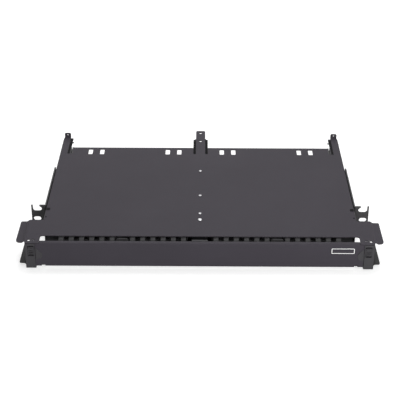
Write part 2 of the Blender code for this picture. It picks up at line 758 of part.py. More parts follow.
# Three cassette rails on the tray's floor: one at each side and a double one between the bays.
def guide_rails(level):
    low = tray_floor(level) + sheet * 0.4
    floor = tray_floor(level) + sheet
    high = floor + guide_height
    rear = tray_rear - sheet - fold_radius - guide_rear_gap
    half = guide_wall / 2
    rails = []
    for place, left_lip, right_lip in ((tray_inner + half, 0, 1), (tray_inner + bay_width, 1, 1),
                                       (tray_outer - half, 1, 0)):
        x0, x1 = place - half, place + half
        foot = floor + guide_wall * 0.6
        points = [(x0 - left_lip * guide_lip, low), (x1 + right_lip * guide_lip, low)]
        if right_lip:
            points += [(x1 + guide_lip, foot), (x1, foot), (x1, high - guide_wall)]
            points += [(x1 + guide_lip / 2, high - guide_wall * 0.6), (x1 + guide_lip / 2, high)]
        else:
            points += [(x1, high)]
        if left_lip:
            points += [(x0 - guide_lip / 2, high), (x0 - guide_lip / 2, high - guide_wall * 0.6)]
            points += [(x0, high - guide_wall), (x0, foot), (x0 - guide_lip, foot)]
        else:
            points += [(x0, high)]
        rails.append(extrusion(points, "y", guide_front, rear))
    return merge(*rails)


# One row of fingers cut from a strip: they rise from a foot on the tray and curl over to the front.
def make_comb(sign, name, level, parent):
    low = tray_floor(level) + sheet + seat_gap
    span = neutral(finger_bend, finger_wall)
    turn = span * math.pi / 2
    web_rear = finger_tip + comb_reach
    foot_start = -(web_rear + finger_wall + finger_bend)
    tip_rise = comb_rise - 2 * (finger_wall + finger_bend)
    foot_rear = web_rear + finger_wall + finger_bend + comb_foot
    bend_two = foot_start + turn + tip_rise
    end = bend_two + turn + comb_reach - finger_wall - finger_bend
    band = foot_start + turn * 0.5 + comb_band * 0.5
    inner = tray_inner + comb_inset
    outer = tray_outer - comb_inset
    # The blank lies with its fingers pointing to the front, so its second coordinate is minus Y.
    points = [(inner, -foot_rear), (outer, -foot_rear), (outer, band)]
    for middle in reversed(comb_middles):
        for index in reversed(range(finger_count)):
            place = middle + (index - (finger_count - 1) / 2) * finger_pitch
            left, right = place - finger_width / 2, place + finger_width / 2
            points += [(right, band), (right, end - finger_chamfer), (right - finger_chamfer, end)]
            points += [(left + finger_chamfer, end), (left, end - finger_chamfer), (left, band)]
    points.append((inner, band))
    bm = flat_sheet(points, [], finger_wall)
    fold(bm, 1, 1, bend_two, finger_wall, finger_bend)
    fold(bm, 1, 1, foot_start, finger_wall, finger_bend, steps=1)
    for vert in bm.verts:
        vert.co.y = -vert.co.y
    lift(bm, low)
    make_object(side_of(bm, sign), "comb_" + name, "plastic_black", parent)


def make_door_panel(parent):
    half = block_inner_x - seat_gap
    rear_top = door_front + door_top_flange
    rear_low = door_front + door_bottom_flange
    inner_y = door_front + door_sheet
    points = [(rear_top, door_top)]
    points += arc(door_front + door_round, door_top - door_round, door_round, 90, 180, 3)
    points += arc(door_front + door_round, door_bottom + door_round, door_round, 180, 270, 3)
    points += [(rear_low, door_bottom), (rear_low, door_bottom + door_sheet)]
    points += [(inner_y, door_bottom + door_sheet), (inner_y, door_top - door_sheet)]
    points += [(rear_top, door_top - door_sheet)]
    panel = make_object(extrusion(points, "x", -half, half), "door_panel", "powder_black", parent)
    cuts = []
    for sign in (-1, 1):
        near, far = lug_x - door_notch_gap, lug_x + lug_wall + door_notch_gap
        y0, y1 = door_front - 1 * mm, rear_low + 1 * mm
        z0, z1 = door_bottom - 1 * mm, door_bottom + door_notch_height
        cuts.append(side_of(block(near, far, y0, y1, z0, z1), sign))
        shoulder = corner_inner - door_shoulder_gap
        y1 = rear_top + 1 * mm
        cuts.append(side_of(block(shoulder, half + 1 * mm, y0, y1, door_top - door_sheet, body_height), sign))
    combine(panel, make_tool(merge(*cuts), "door_notch_tool", parent), "DIFFERENCE")


def make_end_block(sign, parent):
    side = "right" if sign > 0 else "left"
    toe, top = block_toe_round, block_top_round
    swing = math.degrees(math.acos((block_rear - hinge_y) / knuckle_radius))
    points = arc(block_front + top, block_top - top, top, 90, 180, 3)
    points += arc(block_front + toe, block_bottom + toe, toe, 180, 270, 4)
    points += [(block_rear, block_bottom)]
    points += arc(hinge_y, hinge_z, knuckle_radius, -swing, swing, 8)
    points += [(block_rear, block_top)]
    x0, x1 = block_inner_x, block_inner_x + block_width
    body = make_object(side_of(extrusion(points, "x", x0, x1), sign), "end_block_" + side,
                       "plastic_black", parent)
    button_half = button_width / 2 + bolt_gap
    recess_low = button_bottom - button_down - bolt_gap
    recess_high = button_bottom + button_height + button_up + bolt_gap
    recess = rounded(button_x - button_half, button_x + button_half, recess_low, recess_high, button_round)
    recess = extrusion(recess, "y", block_front - 2 * mm, recess_rear())
    shank_low = button_bottom + shank_lift - button_down - bolt_gap
    shank_high = button_bottom + shank_lift + shank_height + button_up + bolt_gap
    bolt_half = bolt_width / 2 + bolt_gap
    slot = block(bolt_x - bolt_half, bolt_x + bolt_half, recess_rear() - 1 * mm, block_rear + 1 * mm,
                 shank_low, shank_high)
    well_half = spring_radius + spring_wire + bolt_gap
    well_middle = spring_place()
    well = block(bolt_x - well_half, bolt_x + well_half, well_middle - well_half, well_middle + well_half,
                 recess_low + well_floor, shank_low + 1 * mm)
    bore = rod(hinge_y, hinge_z, pin_radius + pin_gap, x0 - 1 * mm, x0 + knuckle_length)
    for index, tool in enumerate((recess, slot, well, bore)):
        cutter = make_tool(side_of(tool, sign), "block_%s_tool_%d" % (side, index), parent)
        combine(body, cutter, "DIFFERENCE")


def recess_rear():
    return button_front + button_depth + bolt_gap


def spring_place():
    return recess_rear() + spring_radius + spring_wire + bolt_gap + 0.1 * mm


# The latch is a button, a shank through the block and a bolt that rises into the cover's corner slot.
def make_latch(sign, parent):
    side = "right" if sign > 0 else "left"
    half = button_width / 2
    top = button_bottom + button_height
    outline = rounded(button_x - half, button_x + half, button_bottom, top, button_round)
    plate = extrusion(outline, "y", button_front, button_front + button_depth)
    ribs = []
    for index in range(rib_count):
        z = (button_bottom + top) / 2 + (index - (rib_count - 1) / 2) * rib_pitch
        ribs.append(block(button_x - half * 0.7, button_x + half * 0.7, button_front - rib_proud,
                          button_front + button_depth / 2, z - rib_height / 2, z + rib_height / 2))
    shank_low = button_bottom + shank_lift
    bolt_front = bolt_rear - bolt_wall
    points = [(button_front + button_depth / 2, shank_low), (bolt_rear, shank_low), (bolt_rear, bolt_top)]
    points += [(bolt_front, bolt_top), (bolt_front, shank_low + shank_height)]
    points += [(button_front + button_depth / 2, shank_low + shank_height)]
    stem = extrusion(points, "x", bolt_x - bolt_width / 2, bolt_x + bolt_width / 2)
    body = make_object(side_of(plate, sign), "latch_" + side, "plastic_black", parent)
    tool = make_tool(side_of(merge(stem, *ribs), sign), "latch_%s_tool" % side, parent)
    combine(body, tool, "UNION")


def make_latch_spring(sign, parent):
    side = "right" if sign > 0 else "left"
    low = button_bottom - button_down - bolt_gap + well_floor + seat_gap + spring_wire
    high = button_bottom + shank_lift - seat_gap - spring_wire
    steps = 10
    points = []
    for step in range(spring_turns * steps + 1):
        angle = 2 * math.pi * step / steps
        share = step / (spring_turns * steps)
        x = bolt_x + spring_radius * math.cos(angle)
        y = spring_place() + spring_radius * math.sin(angle)
        points.append((sign * x, y, low + (high - low) * share))
    bm = sweep(points, spring_wire, 5)
    make_object(bm, "latch_spring_" + side, "spring_steel", parent, 50)


# A closed tube of a few sides along a line of points.
def sweep(points, radius, sides):
    bm = bmesh.new()
    rings = []
    for index, point in enumerate(points):
        before = Vector(points[max(index - 1, 0)])
        after = Vector(points[min(index + 1, len(points) - 1)])
        along = (after - before).normalized()
        out = along.cross(Vector((0, 0, 1))).normalized()
        up = out.cross(along)
        ring = []
        for side in range(sides):
            angle = 2 * math.pi * side / sides
            offset = out * math.cos(angle) + up * math.sin(angle)
            ring.append(bm.verts.new(Vector(point) + offset * radius))
        rings.append(ring)
    for ring, following in zip(rings, rings[1:]):
        for side in range(sides):
            other = (side + 1) % sides
            bm.faces.new((ring[side], ring[other], following[other], following[side]))
    bm.faces.new(list(reversed(rings[0])))
    bm.faces.new(rings[-1])
    return bm


# The lug stands on the pan beside the end block, with a neck that leaves room for the swinging panel.
def make_hinge_lug(sign, parent):
    side = "right" if sign > 0 else "left"
    foot_low = sheet + seat_gap
    foot_high = foot_low + lug_wall
    neck_low = hinge_z - lug_neck_drop
    points = arc(hinge_y, hinge_z, lug_radius, 90, 270 + 40, 9)
    points += [(lug_foot_front, neck_low), (lug_foot_front, foot_low), (lug_foot_rear, foot_low)]
    points += [(lug_foot_rear, foot_high), (lug_foot_front + lug_slope, hinge_z + lug_radius)]
    bore = circle(hinge_y, hinge_z, pin_radius + pin_gap, 16)
    plate = extrusion(points, "x", lug_x, lug_x + lug_wall, [bore])
    foot = block(lug_x + lug_wall / 2, lug_x + lug_foot_width, lug_foot_front, lug_foot_rear,
                 foot_low, foot_high)
    body = make_object(side_of(plate, sign), "hinge_lug_" + side, "powder_dark", parent)
    combine(body, make_tool(side_of(foot, sign), "lug_%s_tool" % side, parent), "UNION")


def make_hinge_pin(sign, parent):
    side = "right" if sign > 0 else "left"
    end = block_inner_x + knuckle_length - 2 * seat_gap
    pin = rod(hinge_y, hinge_z, pin_radius, lug_x - pin_stub, end)
    make_object(side_of(pin, sign), "hinge_pin_" + side, "steel_bright", parent, 40)


def build():
    clear_scene()
    frame = make_empty("frame", (0, 0, 0))
    make_top_cover(frame)
    make_base_pan(frame)
    make_channel(frame)
    make_runners(frame)
    make_cover_fasteners(frame)
    for sign in (-1, 1):
        make_ear(sign, frame)
        make_ear_screws(sign, frame)
        make_hinge_pin(sign, frame)
        make_hinge_lug(sign, frame)
        make_fins(sign, frame)
    door = make_empty("door_hinge_axis", (0, hinge_y, hinge_z), frame)
    make_door_panel(door)
    for sign, side in ((-1, "left"), (1, "right")):
        make_end_block(sign, door)
        make_latch_spring(sign, door)
        slide = make_empty("latch_%s_slide" % side, (sign * bolt_x, button_front, button_bottom), door)
        make_latch(sign, slide)
        for level, word in enumerate(("lower", "middle", "upper")):
            name = side + "_" + word
            middle = sign * (tray_inner + tray_outer) / 2
            slide = make_empty("tray_%s_slide" % name, (middle, tray_front, tray_floor(level)), frame)
            make_tray(sign, name, level, slide)
            make_comb(sign, name, level, slide)


build()
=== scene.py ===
import json
import math

import bmesh
import bpy
from mathutils import Matrix, Vector


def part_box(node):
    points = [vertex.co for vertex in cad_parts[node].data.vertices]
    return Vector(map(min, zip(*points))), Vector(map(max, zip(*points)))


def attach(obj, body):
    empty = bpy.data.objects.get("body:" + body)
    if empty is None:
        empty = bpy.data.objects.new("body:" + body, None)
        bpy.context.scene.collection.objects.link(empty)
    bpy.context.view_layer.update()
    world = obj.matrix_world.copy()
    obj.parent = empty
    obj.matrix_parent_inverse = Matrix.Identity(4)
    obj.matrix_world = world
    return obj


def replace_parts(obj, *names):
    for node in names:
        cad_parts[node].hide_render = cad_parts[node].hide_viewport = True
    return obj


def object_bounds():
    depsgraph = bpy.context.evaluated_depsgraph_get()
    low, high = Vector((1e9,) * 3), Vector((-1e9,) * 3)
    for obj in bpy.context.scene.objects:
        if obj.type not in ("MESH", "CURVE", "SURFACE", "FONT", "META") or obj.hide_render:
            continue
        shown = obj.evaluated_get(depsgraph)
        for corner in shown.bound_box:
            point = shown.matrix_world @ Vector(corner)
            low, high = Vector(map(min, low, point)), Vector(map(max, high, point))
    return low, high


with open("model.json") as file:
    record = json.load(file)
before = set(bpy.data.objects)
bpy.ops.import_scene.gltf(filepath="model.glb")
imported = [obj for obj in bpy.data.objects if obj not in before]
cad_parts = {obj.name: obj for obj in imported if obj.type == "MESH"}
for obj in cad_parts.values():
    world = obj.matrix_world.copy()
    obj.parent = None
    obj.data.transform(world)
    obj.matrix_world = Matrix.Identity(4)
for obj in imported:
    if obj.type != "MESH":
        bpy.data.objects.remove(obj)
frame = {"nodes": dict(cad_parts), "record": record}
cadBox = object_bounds()
nodes = frame["nodes"]
print("scene: the frame is in, with", len(nodes), "nodes")

# Camera, floor and light
view = {"place": (0.0038, -1.4643, 0.8254), "pitch": 29.0, "yaw": 0.16, "roll": 0.2,
        "lens": 100.7, "sensor": 36.0, "near": 0.05}
floorLook = {"size": 30.0, "drop": 0.0002, "colour": (0.62, 0.62, 0.62, 1.0), "roughness": 0.8, "whitening": 0.62}
white = (1.0, 1.0, 1.0, 1.0)
sky = {"fill": 0.32, "shown": 1.0}
lamps = {
    "key": {"place": (0.95, -1.45, 0.5), "size": 0.9, "power": 19.0},
    "fill": {"place": (-0.9, -3.7, 1.5), "size": 2.0, "power": 30.0},
    "top": {"place": (0.0, 0.5, 2.0), "size": 0.9, "power": 20.0},
    "back": {"place": (0.0, 2.0, 1.1), "size": 1.4, "power": 6.0},
}


def addObject(name, data):
    item = bpy.data.objects.new(name, data)
    bpy.context.scene.collection.objects.link(item)
    return item


def makeCamera():
    lens = bpy.data.cameras.new("camera")
    lens.sensor_width = view["sensor"]
    lens.lens = view["lens"]
    lens.clip_start = view["near"]
    camera = addObject("camera", lens)
    aim = Matrix.Rotation(math.radians(view["yaw"]), 4, "Z")
    turn = aim @ Matrix.Rotation(math.radians(90.0 - view["pitch"]), 4, "X")
    roll = Matrix.Rotation(math.radians(view["roll"]), 4, "Z")
    camera.matrix_world = Matrix.Translation(view["place"]) @ turn @ roll
    bpy.context.scene.camera = camera


def addNode(tree, kind, values=None, **settings):
    node = tree.nodes.new("ShaderNode" + kind)
    for name, value in settings.items():
        setattr(node, name, value)
    for name, value in (values or {}).items():
        node.inputs[name].default_value = value
    return node


# Light Path gives 1 to the rays that may see a white surface: camera, glossy and transmission rays.
def seenRays(tree):
    path = addNode(tree, "LightPath")
    first = addNode(tree, "Math", operation="MAXIMUM")
    second = addNode(tree, "Math", operation="MAXIMUM")
    tree.links.new(path.outputs["Is Camera Ray"], first.inputs[0])
    tree.links.new(path.outputs["Is Glossy Ray"], first.inputs[1])
    tree.links.new(first.outputs[0], second.inputs[0])
    tree.links.new(path.outputs["Is Transmission Ray"], second.inputs[1])
    return second.outputs[0]


def makeFloor():
    bm = bmesh.new()
    bmesh.ops.create_grid(bm, x_segments=1, y_segments=1, size=floorLook["size"] / 2)
    bmesh.ops.translate(bm, verts=bm.verts[:], vec=(0, 0, cadBox[0][2] - floorLook["drop"]))
    mesh = bpy.data.meshes.new("floor")
    bm.to_mesh(mesh)
    bm.free()
    material = bpy.data.materials.new("paleFloor")
    material.use_nodes = True
    tree = material.node_tree
    shader = tree.nodes["Principled BSDF"]
    shader.inputs["Base Color"].default_value = floorLook["colour"]
    shader.inputs["Roughness"].default_value = floorLook["roughness"]
    shader.inputs["Emission Color"].default_value = white
    strength = addNode(tree, "Math", operation="MULTIPLY")
    strength.inputs[1].default_value = floorLook["whitening"]
    tree.links.new(seenRays(tree), strength.inputs[0])
    tree.links.new(strength.outputs[0], shader.inputs["Emission Strength"])
    mesh.materials.append(material)
    addObject("floor", mesh)


def makeLight():
    scene = bpy.context.scene
    world = bpy.data.worlds.new("studio")
    world.use_nodes = True
    tree = world.node_tree
    background = tree.nodes["Background"]
    background.inputs["Color"].default_value = white
    level = addNode(tree, "MapRange", {"To Min": sky["fill"], "To Max": sky["shown"]})
    tree.links.new(seenRays(tree), level.inputs["Value"])
    tree.links.new(level.outputs["Result"], background.inputs["Strength"])
    scene.world = world
    for name, lamp in lamps.items():
        data = bpy.data.lights.new(name, "AREA")
        data.shape = "SQUARE"
        data.size = lamp["size"]
        data.energy = lamp["power"]
        item = addObject(name, data)
        item.location = lamp["place"]
        item.rotation_euler = (-Vector(lamp["place"])).to_track_quat("-Z", "Y").to_euler()
    scene.view_settings.view_transform = "Standard"


makeCamera()
makeFloor()
makeLight()
print("scene: camera, floor and light are set")


# Shared shader groups: each puts out masks, values or normals that change over the surface.
def newGroup(name, inputs, outputs):
    group = bpy.data.node_groups.new(name, "ShaderNodeTree")
    for title, kind in inputs:
        group.interface.new_socket(name=title, in_out="INPUT", socket_type="NodeSocket" + kind)
    for title, kind in outputs:
        group.interface.new_socket(name=title, in_out="OUTPUT", socket_type="NodeSocket" + kind)
    return group, group.nodes.new("NodeGroupInput"), group.nodes.new("NodeGroupOutput")


grainLook = {"peel": {"Detail": 2.0, "Roughness": 0.5}, "grain": {"Detail": 3.0, "Roughness": 0.65},
             "cloud": {"Scale": 9.0, "Detail": 4.0, "Roughness": 0.6}, "grainShare": 0.35}


# Orange peel and fine grain of a stoved powder coat, or of a spark-eroded mould.
def makeGrainGroup():
    inputs = [("Vector", "Vector"), ("Peel Scale", "Float"), ("Grain Scale", "Float")]
    outputs = [("Height", "Float"), ("Speckle", "Float"), ("Cloud", "Float")]
    group, source, result = newGroup("coatGrain", inputs, outputs)
    peel = addNode(group, "TexNoise", grainLook["peel"])
    grain = addNode(group, "TexNoise", grainLook["grain"])
    cloud = addNode(group, "TexNoise", grainLook["cloud"])
    for noise, scale in ((peel, "Peel Scale"), (grain, "Grain Scale")):
        group.links.new(source.outputs[scale], noise.inputs["Scale"])
    for noise in (peel, grain, cloud):
        group.links.new(source.outputs["Vector"], noise.inputs["Vector"])
    height = addNode(group, "Math", operation="MULTIPLY_ADD")
    height.inputs[1].default_value = grainLook["grainShare"]
    group.links.new(grain.outputs["Fac"], height.inputs[0])
    group.links.new(peel.outputs["Fac"], height.inputs[2])
    group.links.new(height.outputs[0], result.inputs["Height"])
    group.links.new(grain.outputs["Fac"], result.inputs["Speckle"])
    group.links.new(cloud.outputs["Fac"], result.inputs["Cloud"])
    return group


edgeHighlightLook = {"samples": 4, "spread": {"From Min": 0.995, "From Max": 0.82},
            "patches": {"Scale": 60.0, "Detail": 5.0, "Roughness": 0.7},
            "share": {"From Min": 0.35, "From Max": 0.65}}


# Edge mask and softened edge normal: the mask paints a highlight into the colour along the edges, broken into
# patches, and the softened normal rounds the edges' shading.
def makeEdgeGroup():
    inputs = [("Vector", "Vector"), ("Radius", "Float"), ("Amount", "Float")]
    group, source, result = newGroup("edgeHighlight", inputs, [("Mask", "Float"), ("Normal", "Vector")])
    soft = addNode(group, "Bevel", samples=edgeHighlightLook["samples"])
    group.links.new(source.outputs["Radius"], soft.inputs["Radius"])
    plain = addNode(group, "NewGeometry")
    likeness = addNode(group, "VectorMath", operation="DOT_PRODUCT")
    group.links.new(soft.outputs["Normal"], likeness.inputs[0])
    group.links.new(plain.outputs["Normal"], likeness.inputs[1])
    spread = addNode(group, "MapRange", edgeHighlightLook["spread"])
    group.links.new(likeness.outputs["Value"], spread.inputs["Value"])
    patchy = addNode(group, "TexNoise", edgeHighlightLook["patches"])
    group.links.new(source.outputs["Vector"], patchy.inputs["Vector"])
    share = addNode(group, "MapRange", edgeHighlightLook["share"])
    group.links.new(patchy.outputs["Fac"], share.inputs["Value"])
    paintedHighlight = addNode(group, "Math", operation="MULTIPLY")
    group.links.new(spread.outputs["Result"], paintedHighlight.inputs[0])
    group.links.new(share.outputs["Result"], paintedHighlight.inputs[1])
    mask = addNode(group, "Math", operation="MULTIPLY", use_clamp=True)
    group.links.new(paintedHighlight.outputs[0], mask.inputs[0])
    group.links.new(source.outputs["Amount"], mask.inputs[1])
    group.links.new(mask.outputs[0], result.inputs["Mask"])
    group.links.new(soft.outputs["Normal"], result.inputs["Normal"])
    return group


groups = {"grain": makeGrainGroup(), "edge": makeEdgeGroup()}

# Each finish: its colour, the colours that its speckle and edges mix in (the edge colour is a painted highlight),
# and the size of its grain.
finishes = {
    "coverCoat": {"colour": (0.0352, 0.0314, 0.0388, 1.0), "speck": (0.0472, 0.0424, 0.0520, 1.0),
                  "edge": (0.10, 0.10, 0.10, 1.0), "roughness": (0.54, 0.70), "specular": 0.12,
                  "peel": 900.0, "grain": 3600.0, "bump": 0.00006, "edgeRadius": 0.0005, "edgeHighlightAmount": 0.55},
    # The frame's coat is the same black powder coat as the cover's, set lighter to paint more light onto the
    # parts that take it.
    "frameCoatPaintedLight": {"colour": (0.046, 0.045, 0.047, 1.0), "speck": (0.060, 0.059, 0.061, 1.0),
                  "edge": (0.11, 0.11, 0.11, 1.0), "roughness": (0.52, 0.66), "specular": 0.16,
                  "peel": 900.0, "grain": 3600.0, "bump": 0.00006, "edgeRadius": 0.0005, "edgeHighlightAmount": 0.5},
    # A deeper black: the own colour of the trims, clips, screws and bumpers, and painted shade on the runners,
    # the centre channel, the tongue, the runner strips and the rib strips.
    "deepBlackAndPaintedShade": {"colour": (0.010, 0.010, 0.011, 1.0), "speck": (0.016, 0.016, 0.017, 1.0),
                     "edge": (0.030, 0.030, 0.031, 1.0), "roughness": (0.70, 0.85), "specular": 0.05,
                     "peel": 2400.0, "grain": 7000.0, "bump": 0.00004, "edgeRadius": 0.0004, "edgeHighlightAmount": 0.25},
    # The combs' lighter black paints light onto fingers that lie in the cover's shade.
    "combPaintedLight": {"colour": (0.064, 0.063, 0.066, 1.0), "speck": (0.082, 0.081, 0.084, 1.0),
                     "edge": (0.12, 0.12, 0.12, 1.0), "roughness": (0.46, 0.58), "specular": 0.28,
                     "peel": 2400.0, "grain": 7000.0, "bump": 0.00003, "edgeRadius": 0.0004, "edgeHighlightAmount": 0.3},
    # The finger pads' own black is set lighter than the moulding to paint light onto them.
    "padPaintedLight": {"colour": (0.044, 0.0435, 0.0455, 1.0), "speck": (0.057, 0.056, 0.058, 1.0),
                    "edge": (0.15, 0.15, 0.15, 1.0), "roughness": (0.52, 0.64), "specular": 0.2,
                    "peel": 2400.0, "grain": 7000.0, "bump": 0.00003, "edgeRadius": 0.0004, "edgeHighlightAmount": 0.3},
    # A lighter grey for the tongue's lip: a painted highlight along its front edge.
    "lipPaintedHighlight": {"colour": (0.086, 0.085, 0.089, 1.0), "speck": (0.104, 0.103, 0.107, 1.0),
                    "edge": (0.15, 0.15, 0.15, 1.0), "roughness": (0.52, 0.64), "specular": 0.2,
                    "peel": 2400.0, "grain": 7000.0, "bump": 0.00003, "edgeRadius": 0.0004, "edgeHighlightAmount": 0.3},
    "labelWhite": {"colour": (0.86, 0.86, 0.86, 1.0), "speck": (0.80, 0.80, 0.80, 1.0),
                   "edge": (0.66, 0.66, 0.66, 1.0), "roughness": (0.42, 0.52), "specular": 0.3,
                   "peel": 2400.0, "grain": 9000.0, "bump": 0.00001, "edgeRadius": 0.0001, "edgeHighlightAmount": 0.3},
    "mouldedBlack": {"colour": (0.026, 0.024, 0.028, 1.0), "speck": (0.037, 0.036, 0.039, 1.0),
                     "edge": (0.085, 0.085, 0.085, 1.0), "roughness": (0.46, 0.58), "specular": 0.28,
                     "peel": 2400.0, "grain": 7000.0, "bump": 0.00003, "edgeRadius": 0.0004, "edgeHighlightAmount": 0.3},
}
metals = {
    "platedSteel": {"colour": (0.62, 0.62, 0.63, 1.0), "dull": (0.40, 0.40, 0.41, 1.0),
                    "roughness": (0.22, 0.42), "scale": 700.0, "bump": 0.00002},
    "springSteel": {"colour": (0.42, 0.42, 0.43, 1.0), "dull": (0.24, 0.24, 0.25, 1.0),
                    "roughness": (0.28, 0.45), "scale": 900.0, "bump": 0.00002},
}
scratchLook = {"Detail": 4.0, "Roughness": 0.6}
noiseSpread = {"From Min": 0.3, "From Max": 0.7}


def startMaterial(name):
    material = bpy.data.materials.new(name)
    material.use_nodes = True
    tree = material.node_tree
    return material, tree, tree.nodes["Principled BSDF"], addNode(tree, "TexCoord").outputs["Object"]


def roughAndBump(tree, shader, look, speckle, height):
    low, high = look["roughness"]
    rough = addNode(tree, "MapRange", {**noiseSpread, "To Min": low, "To Max": high})
    tree.links.new(speckle, rough.inputs["Value"])
    tree.links.new(rough.outputs["Result"], shader.inputs["Roughness"])
    bump = addNode(tree, "Bump", {"Strength": 1.0, "Distance": look["bump"]})
    tree.links.new(height, bump.inputs["Height"])
    tree.links.new(bump.outputs["Normal"], shader.inputs["Normal"])
    return bump


def coatMaterial(name, look):
    material, tree, shader, vector = startMaterial(name)
    grain = addNode(tree, "Group", node_tree=groups["grain"])
    grain.inputs["Peel Scale"].default_value = look["peel"]
    grain.inputs["Grain Scale"].default_value = look["grain"]
    tree.links.new(vector, grain.inputs["Vector"])
    edge = addNode(tree, "Group", node_tree=groups["edge"])
    edge.inputs["Radius"].default_value = look["edgeRadius"]
    edge.inputs["Amount"].default_value = look["edgeHighlightAmount"]
    tree.links.new(vector, edge.inputs["Vector"])
    speckled = addNode(tree, "Mix", data_type="RGBA")
    speckled.inputs["A"].default_value = look["colour"]
    speckled.inputs["B"].default_value = look["speck"]
    tree.links.new(grain.outputs["Cloud"], speckled.inputs["Factor"])
    # The edge colour mixed in here is a painted highlight along the edges; on the white print it is a painted
    # darker edge instead.
    highlitColour = addNode(tree, "Mix", data_type="RGBA")
    highlitColour.inputs["B"].default_value = look["edge"]
    tree.links.new(speckled.outputs["Result"], highlitColour.inputs["A"])
    tree.links.new(edge.outputs["Mask"], highlitColour.inputs["Factor"])
    tree.links.new(highlitColour.outputs["Result"], shader.inputs["Base Color"])
    bump = roughAndBump(tree, shader, look, grain.outputs["Speckle"], grain.outputs["Height"])
    tree.links.new(edge.outputs["Normal"], bump.inputs["Normal"])
    shader.inputs["Specular IOR Level"].default_value = look["specular"]
    return material


def metalMaterial(name, look):
    material, tree, shader, vector = startMaterial(name)
    scratch = addNode(tree, "TexNoise", {"Scale": look["scale"], **scratchLook})
    tree.links.new(vector, scratch.inputs["Vector"])
    tone = addNode(tree, "Mix", data_type="RGBA")
    tone.inputs["A"].default_value = look["colour"]
    tone.inputs["B"].default_value = look["dull"]
    tree.links.new(scratch.outputs["Fac"], tone.inputs["Factor"])
    tree.links.new(tone.outputs["Result"], shader.inputs["Base Color"])
    roughAndBump(tree, shader, look, scratch.outputs["Fac"], scratch.outputs["Fac"])
    shader.inputs["Metallic"].default_value = 1.0
    return material


materials = {name: coatMaterial(name, look) for name, look in finishes.items()}
materials.update({name: metalMaterial(name, look) for name, look in metals.items()})

slotFinish = {"cover_coat": "coverCoat", "frame_coat": "frameCoatPaintedLight", "moulded_black": "mouldedBlack",
              "plated_steel": "platedSteel", "spring_steel": "springSteel"}

# The runners and the channel under the cover take a deeper black that paints in the shade under the cover, and
# the combs take a lighter black that paints light onto their shaded fingers.
nodeFinish = {"centre_rail": "deepBlackAndPaintedShade", "side_rail": "deepBlackAndPaintedShade", "centre_channel": "deepBlackAndPaintedShade",
              "comb": "combPaintedLight"}


def finishNodes():
    for part in frame["record"]["subparts"]:
        finish = slotFinish[part["material_slot"]]
        for start, other in nodeFinish.items():
            if part["node"].startswith(start):
                finish = other
        mesh = nodes[part["node"]].data
        mesh.materials.clear()
        mesh.materials.append(materials[finish])


finishNodes()
print("scene: every node of the frame has its finish")


mergeGap = 0.000001


# New pieces. Each is made where it belongs, so its object stays at the origin.
def newPiece(bm, name, finish, body, sharpAngle=30.0):
    bmesh.ops.remove_doubles(bm, verts=bm.verts[:], dist=mergeGap)
    bmesh.ops.recalc_face_normals(bm, faces=bm.faces[:])
    mesh = bpy.data.meshes.new(name)
    bm.to_mesh(mesh)
    bm.free()
    mesh.shade_smooth()
    mesh.set_sharp_from_angle(angle=math.radians(sharpAngle))
    mesh.materials.append(materials[finish])
    piece = addObject(name, mesh)
    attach(piece, body)
    return piece


def roundEdges(bm, edges, size, segments=2):
    bmesh.ops.bevel(bm, geom=edges, offset=size, segments=segments, profile=0.5, affect="EDGES", material=-1)


def onlyVerts(items):
    return [item for item in items if isinstance(item, bmesh.types.BMVert)]


# The faces that look along one axis (0, 1 or 2), to its plus or minus side.
def facing(bm, axis, sign):
    return [face for face in bm.faces if sign * face.normal[axis] > 0.99]


def largest(faces):
    return max(faces, key=lambda face: face.calc_area())


# A face from its corners, pushed out along a direction.
def pushedFace(corners, along):
    bm = bmesh.new()
    face = bm.faces.new([bm.verts.new(corner) for corner in corners])
    grown = bmesh.ops.extrude_face_region(bm, geom=[face])
    bmesh.ops.translate(bm, verts=onlyVerts(grown["geom"]), vec=along)
    return bm


# A bar between two corners with all its edges rounded.
def roundedBar(low, high, size, segments=2):
    bm = bmesh.new()
    bmesh.ops.create_cube(bm, size=1.0)
    bmesh.ops.scale(bm, vec=[b - a for a, b in zip(low, high)], verts=bm.verts[:])
    roundEdges(bm, bm.edges[:], size, segments)
    bmesh.ops.translate(bm, verts=bm.verts[:], vec=[(a + b) / 2 for a, b in zip(low, high)])
    return bm


# The same bar on the left (-1) or on the right (1).
def sideBar(look, sign, low, high, segments=2):
    near, far = sorted((sign * look["inner"], sign * look["outer"]))
    return roundedBar((near, look["front"], low), (far, look["rear"], high), look["round"], segments)


def sideName(sign):
    return "right" if sign > 0 else "left"


# The printed outline on the door: a thin rounded frame. What it holds is left bare.
labelFrame = {"middle": (0.1939, -0.17472, 0.0325), "size": (0.0312, 0.0081), "line": 0.0009,
              "corner": 0.0011, "cornerSteps": 5, "film": 0.00012}


def makeLabelFrame():
    look = labelFrame
    bm = bmesh.new()
    bmesh.ops.create_grid(bm, x_segments=1, y_segments=1, size=0.5)
    bmesh.ops.scale(bm, vec=(look["size"][0], look["size"][1], 1.0), verts=bm.verts[:])
    bmesh.ops.bevel(bm, geom=bm.verts[:], offset=look["corner"], segments=look["cornerSteps"], profile=0.5,
                    affect="VERTICES", material=-1)
    bmesh.ops.inset_region(bm, faces=bm.faces[:], thickness=look["line"], use_even_offset=True,
                           use_boundary=True)
    middle = max(bm.faces, key=lambda face: len(face.verts))
    bmesh.ops.delete(bm, geom=[middle], context="FACES")
    grown = bmesh.ops.extrude_face_region(bm, geom=bm.faces[:])
    bmesh.ops.translate(bm, verts=onlyVerts(grown["geom"]), vec=(0, 0, look["film"]))
    upright = Matrix.Rotation(math.radians(90), 3, "X")
    bmesh.ops.rotate(bm, cent=(0, 0, 0), matrix=upright, verts=bm.verts[:])
    bmesh.ops.translate(bm, verts=bm.verts[:], vec=look["middle"])
    newPiece(bm, "label_frame", "labelWhite", "door")


